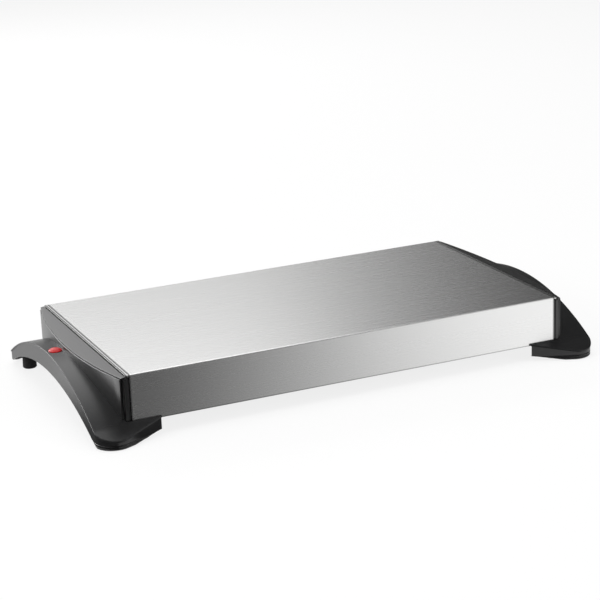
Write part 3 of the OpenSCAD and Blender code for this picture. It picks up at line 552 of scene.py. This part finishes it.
# Pilot lamp. A red domed lens pressed into the left handle, over a small warm bulb
# that stands on a pale holder.
red_colour = (0.45, 0.010, 0.012)
lamp_red = grained("lamp_red", red_colour, roughness=0.3, grain=400, depth=0.000004, spread=0.05,
                   rough_spread=0.03)
shader_of(lamp_red).inputs["Specular IOR Level"].default_value = 0.3
dress("pilot_lamp_lens", lamp_red)
holder_colour = (0.6, 0.57, 0.5)
holder_plastic = grained("holder_plastic", holder_colour, roughness=0.45, grain=800, depth=0.00001,
                         spread=0.05, rough_spread=0.05)
dress("pilot_lamp_holder", holder_plastic)
bulb_colour = (1.0, 0.55, 0.3)
bulb_glass = grained("bulb_glass", bulb_colour, roughness=0.06, grain=300, depth=0.000002,
                     spread=0.04, rough_spread=0.02)
shader_of(bulb_glass).inputs["Transmission Weight"].default_value = 0.85
dress("pilot_lamp_bulb", bulb_glass)


# Screws and the fuse's clip. Zinc plated steel. The screws hold the base plate, the handles,
# their closing panels, the feet and the inlet.
zinc_colour = (0.60, 0.61, 0.63)
zinc_steel = grained("zinc_steel", zinc_colour, roughness=0.32, metallic=1.0, grain=900,
                     depth=0.000006, spread=0.06, rough_spread=0.06)
for node in ("base_screws", "grip_screws", "handle_screws", "foot_screws", "inlet_screws", "fuse_clip"):
    dress(node, zinc_steel)


# Sheet steel inside and below. The base plate, the rails, the heat shield and the element's clamps are
# galvanised sheet with the soft spangle of its zinc.
sheet_colour = (0.55, 0.56, 0.57)
shield_sheet = grained("shield_sheet", sheet_colour, roughness=0.42, metallic=1.0, grain=120,
                       depth=0.000006, spread=0.12, rough_spread=0.08, detail=1.0)
for node in ("base_plate", "support_rails", "heat_shield", "element_clamps"):
    dress(node, shield_sheet)


# Mains inlet. A smooth black moulding with three brass pins, screwed on the back apron. The
# earth stud on the base plate is brass too.
inlet_colour = (0.014, 0.014, 0.014)
inlet_plastic = grained("inlet_plastic", inlet_colour, roughness=0.28, grain=600, depth=0.000005,
                        spread=0.1, rough_spread=0.04)
dress("appliance_inlet", inlet_plastic)
brass_colour = (0.72, 0.52, 0.22)
brass = grained("brass", brass_colour, roughness=0.25, metallic=1.0, grain=700, stretch=(1, 1, 6),
                depth=0.000004, spread=0.06, rough_spread=0.05)
dress("inlet_pins", brass)
dress("earth_stud", brass)


# Heater and controls. A mill finished aluminium plate with its rolling lines lies over a tube
# element darkened by heat, with a felted fibre mat below. The element's ends, the thermostat,
# the fuse and the terminal block are ceramic.
aluminium_colour = (0.77, 0.78, 0.79)
aluminium = grained("aluminium", aluminium_colour, roughness=0.35, metallic=1.0, grain=1.0,
                    stretch=(8, 500, 500), depth=0.000002, spread=0.05, rough_spread=0.06)
dress("heat_spreader", aluminium)
element_colour = (0.25, 0.22, 0.20)
element_steel = grained("element_steel", element_colour, roughness=0.5, metallic=1.0, grain=90,
                        depth=0.00001, spread=0.3, rough_spread=0.12)
dress("heating_element", element_steel)
ceramic_colour = (0.80, 0.77, 0.70)
ceramic = grained("ceramic", ceramic_colour, roughness=0.3, grain=350, depth=0.00001, spread=0.05,
                  rough_spread=0.06)
for node in ("element_terminals", "thermostat", "thermal_fuse", "terminal_block"):
    dress(node, ceramic)
fibre_colour = (0.74, 0.70, 0.58)
fibre = grained("fibre", fibre_colour, roughness=0.95, grain=1.0, stretch=(240, 60, 300),
                depth=0.0006, spread=0.15, rough_spread=0.04, detail=8.0)
dress("insulation_mat", fibre)


# Leads. Wires in smooth plastic sheaths, each in the colour of its conductor: brown for live,
# blue for neutral, green for earth, red for the heater and black for the lamp.
for node, slot, colour in (("live_lead", "brown_sheath", (0.16, 0.055, 0.02)),
                           ("neutral_lead", "blue_sheath", (0.02, 0.08, 0.32)),
                           ("earth_lead", "green_sheath", (0.11, 0.33, 0.03)),
                           ("heater_leads", "red_sheath", (0.38, 0.025, 0.02)),
                           ("lamp_leads", "black_sheath", (0.02, 0.02, 0.02))):
    sheath = grained(slot, colour, roughness=0.35, grain=500, depth=0.00001, spread=0.08,
                     rough_spread=0.05)
    dress(node, sheath)
